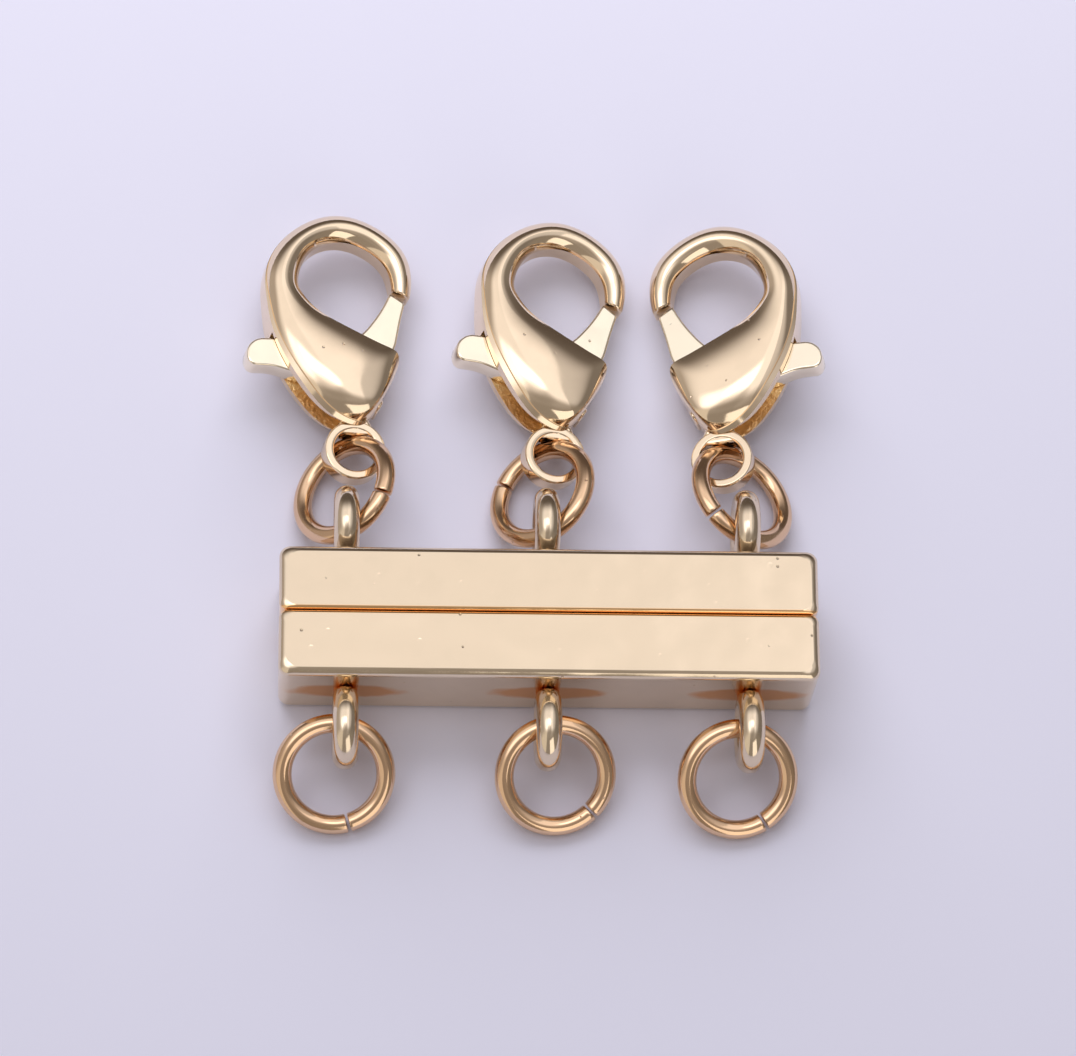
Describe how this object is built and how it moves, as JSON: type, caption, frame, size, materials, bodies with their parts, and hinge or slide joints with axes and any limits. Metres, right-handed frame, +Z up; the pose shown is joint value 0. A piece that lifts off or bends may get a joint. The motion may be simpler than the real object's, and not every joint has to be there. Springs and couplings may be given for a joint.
{
  "type": "magnetic layering clasp",
  "caption": "Magnetic layering clasp whose bar halves snap together, with lobster clasps on split rings along one side and plain split rings along the other.",
  "frame": {"origin": "middle of the upper bar's underside, on the surface that the part lies on", "axes": "+X along the bars, +Y across the seam towards the lobster clasps, +Z up from the surface"},
  "size_m": [0.0245, 0.0268, 0.0045],
  "materials": {
    "bar_gold": "polished pale gold plating over a cast bar, with a few casting pits",
    "clasp_gold": "mirror polished pale gold plating",
    "lever_gold": "mirror polished pale gold plating",
    "ring_gold": "drawn wire, gold plated, warmer and a little duller than the castings",
    "pin_gold": "plain drawn pin",
    "magnet_nickel": "nickel plated bar magnet"
  },
  "bodies": {
    "upper_half": {"upper_bar": "bar_gold", "upper_magnet": "magnet_nickel", "link_ring_left": "ring_gold", "link_ring_middle": "ring_gold", "link_ring_right": "ring_gold", "clasp_body_left": "clasp_gold", "clasp_body_middle": "clasp_gold", "clasp_body_right": "clasp_gold", "pivot_pin_left": "pin_gold", "pivot_pin_middle": "pin_gold", "pivot_pin_right": "pin_gold"},
    "lower_half": {"lower_bar": "bar_gold", "lower_magnet": "magnet_nickel", "end_ring_left": "ring_gold", "end_ring_middle": "ring_gold", "end_ring_right": "ring_gold"},
    "lever_left": {"clasp_lever_left": "lever_gold"},
    "lever_middle": {"clasp_lever_middle": "lever_gold"},
    "lever_right": {"clasp_lever_right": "lever_gold"}
  },
  "joints": [
    {"name": "pull_apart", "type": "slide", "parent": "upper_half", "child": "lower_half", "axis": [0, -1, 0], "range_m": [0, 0.01]},
    {"name": "lever_left_turn", "type": "hinge", "parent": "upper_half", "child": "lever_left", "pos_m": [-0.00763, 0.01019, 0.00145], "axis": [0.1874, 0.0103, 0.9822], "range_deg": [0, 22], "stiffness_Nm_per_rad": 0.001},
    {"name": "lever_middle_turn", "type": "hinge", "parent": "upper_half", "child": "lever_middle", "pos_m": [0.00104, 0.01002, 0.0014], "axis": [0.2104, 0.015, 0.9775], "range_deg": [0, 22], "stiffness_Nm_per_rad": 0.001},
    {"name": "lever_right_turn", "type": "hinge", "parent": "upper_half", "child": "lever_right", "pos_m": [0.00683, 0.00995, 0.00143], "axis": [0.2523, -0.0175, -0.9675], "range_deg": [0, 22], "stiffness_Nm_per_rad": 0.001}
  ]
}
